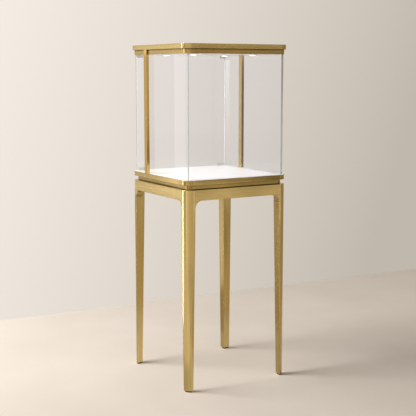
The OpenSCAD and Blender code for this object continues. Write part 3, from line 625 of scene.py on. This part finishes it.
SHOE_FRONT_Y = 0.20272
SCREW_PROUD = 0.00005
SCREW_R = 0.0017
SOCKET_DEEP = 0.0008
SCREW_FROM_END = 0.008
LOW_SHOE_MIDDLE, HIGH_SHOE_MIDDLE = 0.8095, 1.2585
for shoe in ("door_shoe_bottom", "door_shoe_top", "door_pull_shoe"):
    low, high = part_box(shoe)
    middle = HIGH_SHOE_MIDDLE if shoe == "door_shoe_top" else LOW_SHOE_MIDDLE
    for number, x in enumerate((low.x + SCREW_FROM_END, high.x - SCREW_FROM_END), 1):
        set_screw(f"{shoe}_screw_{number}", (x, SHOE_FRONT_Y - SCREW_PROUD, middle), SCREW_R, SOCKET_DEEP,
                  (0, -1, 0), "door")

# %% Magnet
low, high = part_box("door_catch")
magnet_profile = [(0.00001, 0), (0.0032, 0), (0.0035, -0.0003), (0.0035, -0.0008), (0.00001, -0.0008)]
magnet_face = ((low.x + high.x) / 2, high.y + 0.0002, (low.z + high.z) / 2)
turned("catch_magnet", magnet_profile, magnet_face, zinc_steel, "case", axis="Y", steps=32)

# %% [markdown]
# ## Floor and wall
# The floor is plain, pale and matt. The wall behind it gives off its own light, painted brightest at the top
# left and darker towards the right and the bottom, and a little brighter where it is seen through the glass.
# It gives its tone to the camera and to what is seen through the glass, and from behind it can't be seen, so
# the case can be looked at from the rear as well. Both start 0.2 mm below the feet.

# %% Floor
# A quiet, matt ground that keeps the soft shadows of the legs.
BELOW_FEET = 0.0002
STAGE_WIDE = 24
floor_finish, tree, place = new_finish("pale_honed_floor")
mottle = add(tree, "ShaderNodeTexNoise", {"Vector": place, "Scale": 2.2, "Detail": 4.0})
floor_tone = add(tree, "ShaderNodeMix",
                 {"Factor": between(tree, mottle.outputs["Fac"], 0.0, 1.0), "A": linear("#DFD7CF"),
                  "B": linear("#E5DED7")}, data_type="RGBA")
floor_body = add(tree, "ShaderNodeBsdfDiffuse", {"Color": floor_tone.outputs["Result"], "Roughness": 0.4})
add(tree, "ShaderNodeOutputMaterial", {"Surface": floor_body.outputs["BSDF"]})


def stage_sheet(name, finish, size, turn, centre):
    work = bmesh.new()
    bmesh.ops.create_grid(work, x_segments=1, y_segments=1, size=0.5)
    bmesh.ops.scale(work, vec=(*size, 1), verts=work.verts)
    bmesh.ops.rotate(work, cent=(0, 0, 0), matrix=turn.to_matrix().to_3x3(), verts=work.verts)
    bmesh.ops.translate(work, vec=centre, verts=work.verts)
    mesh = bpy.data.meshes.new(name)
    work.to_mesh(mesh)
    work.free()
    mesh.materials.append(finish)
    sheet = bpy.data.objects.new(name, mesh)
    bpy.context.scene.collection.objects.link(sheet)
    sheet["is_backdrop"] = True
    return sheet


stage_sheet("floor", floor_finish, (STAGE_WIDE, STAGE_WIDE), Matrix.Identity(3).to_euler(),
            (0, 0, -BELOW_FEET))

# %% Wall
# A bright, calm backdrop that glows with its own light, painted darker towards the right and the bottom as
# shade.
WALL_AWAY = 1.138
WALL_HIGH = 8
WALL_TURN = math.radians(-2.93)
DARKENS_OVER = (-1.2, 1.7)
# painted light: seen through the glass the wall glows a little brighter
THROUGH_GLASS = 1.045
wall_finish, tree, place = new_finish("pale_wall_with_painted_light")
# painted shade: the wall's own light falls off towards the right and the bottom
away = add(tree, "ShaderNodeVectorMath", {0: place, 1: (1.0, 0.0, -0.35)}, operation="DOT_PRODUCT")
darker = add(tree, "ShaderNodeMapRange",
             {"Value": away.outputs["Value"], "From Min": DARKENS_OVER[0], "From Max": DARKENS_OVER[1]})
painted_wall_light = add(tree, "ShaderNodeMix",
                {"Factor": darker.outputs["Result"], "A": linear("#F9F0E7"), "B": linear("#C0B8AC")},
                data_type="RGBA")
path = add(tree, "ShaderNodeLightPath")
through_glass = add(tree, "ShaderNodeMapRange",
                    {"Value": path.outputs["Is Transmission Ray"], "To Min": 1.0, "To Max": THROUGH_GLASS})
seen = add(tree, "ShaderNodeEmission",
           {"Color": painted_wall_light.outputs["Result"], "Strength": through_glass.outputs["Result"]})
unseen = add(tree, "ShaderNodeBsdfTransparent")
facing = add(tree, "ShaderNodeNewGeometry")
one_sided = add(tree, "ShaderNodeMixShader", {"Fac": facing.outputs["Backfacing"]})
tree.links.new(seen.outputs["Emission"], one_sided.inputs[1])
tree.links.new(unseen.outputs["BSDF"], one_sided.inputs[2])
add(tree, "ShaderNodeOutputMaterial", {"Surface": one_sided.outputs["Shader"]})
wall_finish.cycles.emission_sampling = "NONE"
wall_turn = Matrix.Rotation(WALL_TURN, 4, "Z") @ Matrix.Rotation(math.radians(90), 4, "X")
wall = stage_sheet("wall", wall_finish, (STAGE_WIDE, WALL_HIGH), wall_turn.to_euler(),
                   (0, WALL_AWAY, WALL_HIGH / 2 - BELOW_FEET))
wall.visible_diffuse = wall.visible_shadow = False
print("wall faces", [round(v, 2) for v in wall.data.polygons[0].normal])

# %% [markdown]
# ## Cards and flags
# Polished metal shows the room, so a photographer builds the room out of cards. Here each card gives off its
# own light and is seen only as a reflection: the cards are painted reflections of light and of shade. Dark
# cards, called flags, paint shade into the fronts of the legs and posts and give them their deeper tone. White
# and cream cards paint lighter reflections onto the left faces, a high one lifts the roof band, and one beside
# the left post keeps it from mirroring the lit box at the wall. Narrow glowing strips paint the bright line
# down a rounded corner and the streak in the front pane, which fades towards the deck. Sheets on the floor set
# what the lower legs mirror. All of them are seen only as reflections, and only from their front, so they
# throw no light or shadow and don't show in the floor.


# %% Cards and flags
# painted reflection: a card that glows with its own light and shows only in glossy reflections, from its front
def reflection_card(name, tone, deep_tone, strength=1.0, fades_over=None):
    finish, tree, place = new_finish(name)
    card_speck = add(tree, "ShaderNodeTexNoise", {"Vector": place, "Scale": 40.0, "Detail": 3.0})
    card_tone = add(tree, "ShaderNodeMix",
                    {"Factor": between(tree, card_speck.outputs["Fac"], 0.0, 1.0), "A": linear(deep_tone),
                     "B": linear(tone)}, data_type="RGBA")
    front = add(tree, "ShaderNodeEmission", {"Color": card_tone.outputs["Result"], "Strength": strength})
    back = add(tree, "ShaderNodeBsdfTransparent")
    facing = add(tree, "ShaderNodeNewGeometry")
    clear = facing.outputs["Backfacing"]
    if fades_over:  # from clear at the first height to full at the second
        height = add(tree, "ShaderNodeSeparateXYZ", {"Vector": place})
        thin = add(tree, "ShaderNodeMapRange",
                   {"Value": height.outputs["Z"], "From Min": fades_over[0], "From Max": fades_over[1],
                    "To Min": 1.0, "To Max": 0.0}, interpolation_type="SMOOTHSTEP")
        clear = add(tree, "ShaderNodeMath", {0: clear, 1: thin.outputs["Result"]},
                    operation="MAXIMUM").outputs[0]
    card = add(tree, "ShaderNodeMixShader", {"Fac": clear})
    tree.links.new(front.outputs["Emission"], card.inputs[1])
    tree.links.new(back.outputs["BSDF"], card.inputs[2])
    add(tree, "ShaderNodeOutputMaterial", {"Surface": card.outputs["Shader"]})
    finish.cycles.emission_sampling = "NONE"
    return finish


LIES_BELOW = 0.05
STREAK_FADES_OVER = (0.72, 1.25)
# painted reflections: light and dark glowing cards and sheets that stand for the room in the metal
grey_reflection = reflection_card("grey_brown_reflection_card", "#B8A789", "#AD9C7E")
dark_reflection = reflection_card("dark_brown_reflection_card", "#5A4A34", "#52432E")
white_card = reflection_card("white_reflection_card", "#FFF6E9", "#FFF2E2", 1.05)
high_card = reflection_card("bright_reflection_card", "#FFFBF4", "#FFF8EE", 1.25)
cream_card = reflection_card("cream_reflection_card", "#F0E2CC", "#EBDBC2", 0.95)
floor_card = reflection_card("pale_floor_reflection_sheet", "#FFF6E9", "#FFF2E2", 1.2)
foot_card = reflection_card("cream_floor_reflection_sheet", "#FFF3E2", "#FCEDDA", 1.0)
dim_card = reflection_card("dim_floor_reflection_sheet", "#CFBD9E", "#C4B192", 1.0)
strip_card = reflection_card("pale_reflection_strip", "#FFFEFB", "#FFFCF5", 5.2, STREAK_FADES_OVER)
lit_card = reflection_card("lit_reflection_strip", "#FFFEFB", "#FFFCF5", 11.0)
for name, finish, centre, size in (
    ("flag_behind", grey_reflection, (-0.29, 0.62, 0.33), (0.24, 0.64)),
    ("card_in_front", dim_card, (0.628, -1.592, 0.21), (0.56, 0.42)),
    ("flag_in_front", grey_reflection, (1.046, -1.368, 0.21), (0.39, 0.42)),
    ("bounce_card_left", white_card, (-1.58, -0.8, 0.42), (0.9, 0.5)),
    ("bounce_card_front", cream_card, (-0.98, -1.5, 0.42), (0.9, 0.5)),
    ("high_card_behind", high_card, (-0.86, 0.955, 1.435), (0.5, 0.3)),
    ("card_beside_post", cream_card, (-0.423, 0.42, 1.02), (0.14, 0.5)),
    ("edge_strip", lit_card, (-0.81, 0.31, 0.98), (0.062, 1.84)),
    ("strip_in_front", strip_card, (0.799, -1.562, 0.99), (0.022, 0.54)),
    ("flag_for_posts", dark_reflection, (1.19, -1.99, 0.905), (1.04, 0.73)),
    ("long_sheet_in_front", cream_card, (-0.2, -5.2, 0.01), (3.0, 5.6)),
    ("long_sheet_at_left", cream_card, (-4.5, -0.6, 0.01), (2.6, 4.6)),
    ("sheet_on_the_floor", floor_card, (3.1, -5.2, 0.01), (3.4, 4.0)),
    ("sheet_beside_the_foot", foot_card, (-1.08, -0.56, 0.005), (1.0, 1.2)),
    ("dim_sheet_in_front", dim_card, (0.7, -1.35, 0.004), (2.0, 2.0)),
    ("dim_sheet_behind", grey_reflection, (-0.42, 0.62, 0.003), (0.8, 0.9)),
    ("flag_at_right", grey_reflection, (1.35, -0.45, 0.7), (0.8, 1.4)),
):
    toward = Vector((0, 0, centre[2])) - Vector(centre)
    turn = Matrix.Rotation(math.atan2(toward.x, -toward.y), 4, "Z")
    if centre[2] > LIES_BELOW:
        turn = turn @ Matrix.Rotation(math.radians(90), 4, "X")
    flag = stage_sheet(name, finish, size, turn.to_euler(), centre)
    flag.visible_camera = flag.visible_diffuse = flag.visible_transmission = flag.visible_shadow = False
    print(name, "faces", [round(v, 2) for v in flag.data.polygons[0].normal])

# %% [markdown]
# ## Surroundings
# Metal looks the way the room around it looks, so the room is drawn as a ring of tones round the case: the
# left faces mirror the bright wall, the front faces mirror the dimmer side of the room. As a source of soft
# light the ring is only about half as strong, so that the key lamp still throws shadows.

# %% Room
SOFT_LIGHT = 0.49
world = bpy.data.worlds.new("room")
bpy.context.scene.world = world
world.use_nodes = True
sky = world.node_tree
sky.nodes.clear()
direction = add(sky, "ShaderNodeTexCoord").outputs["Generated"]
compass = add(sky, "ShaderNodeTexGradient", {"Vector": direction}, gradient_type="RADIAL")
ring = add(sky, "ShaderNodeValToRGB", {"Fac": compass.outputs["Fac"]})
ROOM_TONES = ((0.0, "#DDD3C6"), (0.04, "#F2EAE0"), (0.09, "#F6EFE6"), (0.2, "#F0E6D9"), (0.25, "#CDC2B2"),
              (0.31, "#D6CBBA"), (0.36, "#CFC3B1"), (0.4, "#A89A86"), (0.5, "#8C7E6A"), (0.62, "#A89C8A"),
              (0.7, "#EAE0D5"), (0.88, "#F0E6DB"), (0.93, "#A89A86"), (0.975, "#A89A86"), (1.0, "#DDD3C6"))
stops = ring.color_ramp.elements
stops[0].position, stops[1].position = 0.0, 1.0
for where, tone in ROOM_TONES[1:-1]:
    stops.new(where)
for stop, (where, tone) in zip(stops, ROOM_TONES):
    stop.color = linear(tone)
path = add(sky, "ShaderNodeLightPath")
level = add(sky, "ShaderNodeMapRange",
            {"Value": path.outputs["Is Diffuse Ray"], "To Min": 1.0, "To Max": SOFT_LIGHT})
room = add(sky, "ShaderNodeBackground", {"Color": ring.outputs["Color"], "Strength": level.outputs["Result"]})
add(sky, "ShaderNodeOutputWorld", {"Surface": room.outputs["Background"]})
print("room tones:", len(stops))

# %% [markdown]
# ## Lamps
# A big soft lamp high on the left is the key: it throws the soft shadows to the right. A tall, narrow and
# faint box beside the wall shows as a pale streak in the left pane. Small beams under the four lenses light
# the deck, as the lights of the real case do.


# %% Studio lamps
def softbox(name, centre, target, width, height, power, tint):
    lamp = bpy.data.lights.new(name, "AREA")
    lamp.shape = "RECTANGLE"
    lamp.size = width
    lamp.size_y = height
    lamp.energy = power
    lamp.color = linear(tint)[:3]
    holder = bpy.data.objects.new(name, lamp)
    holder.location = centre
    holder.rotation_euler = (Vector(target) - Vector(centre)).to_track_quat("-Z", "Y").to_euler()
    holder.visible_camera = holder.visible_transmission = False
    bpy.context.scene.collection.objects.link(holder)


LAMP_WHITE = "#FFFDF9"
KEY_WATTS = 146
STREAK_WATTS = 0.42
BEAM_WHITE = "#F6F9FF"
BEAM_WATTS = 0.85
BEAM_WIDE = math.radians(120)
BEAM_BELOW_RIM = 0.004
softbox("key_box", (-2.6, 1.0, 2.5), (0.1, -0.2, 0), 2.2, 2.2, KEY_WATTS, LAMP_WHITE)
softbox("wall_strip", (-0.864, 1.05, 1.05), (-0.21, -0.14, 1.05), 0.08, 2.1, STREAK_WATTS, LAMP_WHITE)
for number, (x, y) in enumerate(light_places, 1):
    beam = bpy.data.lights.new(f"light_beam_{number}", "SPOT")
    beam.energy = BEAM_WATTS
    beam.spot_size = BEAM_WIDE
    beam.spot_blend = 0.9
    beam.shadow_soft_size = 0.012
    beam.color = linear(BEAM_WHITE)[:3]
    holder = bpy.data.objects.new(f"light_beam_{number}", beam)
    holder.location = (x, y, rim_low.z - BEAM_BELOW_RIM)
    bpy.context.scene.collection.objects.link(holder)

# %% [markdown]
# ## Finish
# The Standard view shows colours about as they are written. The differences between the bounds of the
# imported model and of the dressed one are printed, in millimetres, because dressing must not make the case
# bigger.

# %% Colour view, sizes, finish
bpy.context.scene.view_settings.view_transform = "Standard"
dressed_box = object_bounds()
growth = [round(1000 * (b - a), 2) for v, w in zip(solids_box, dressed_box) for a, b in zip(v, w)]
print("grown by (mm):", growth)
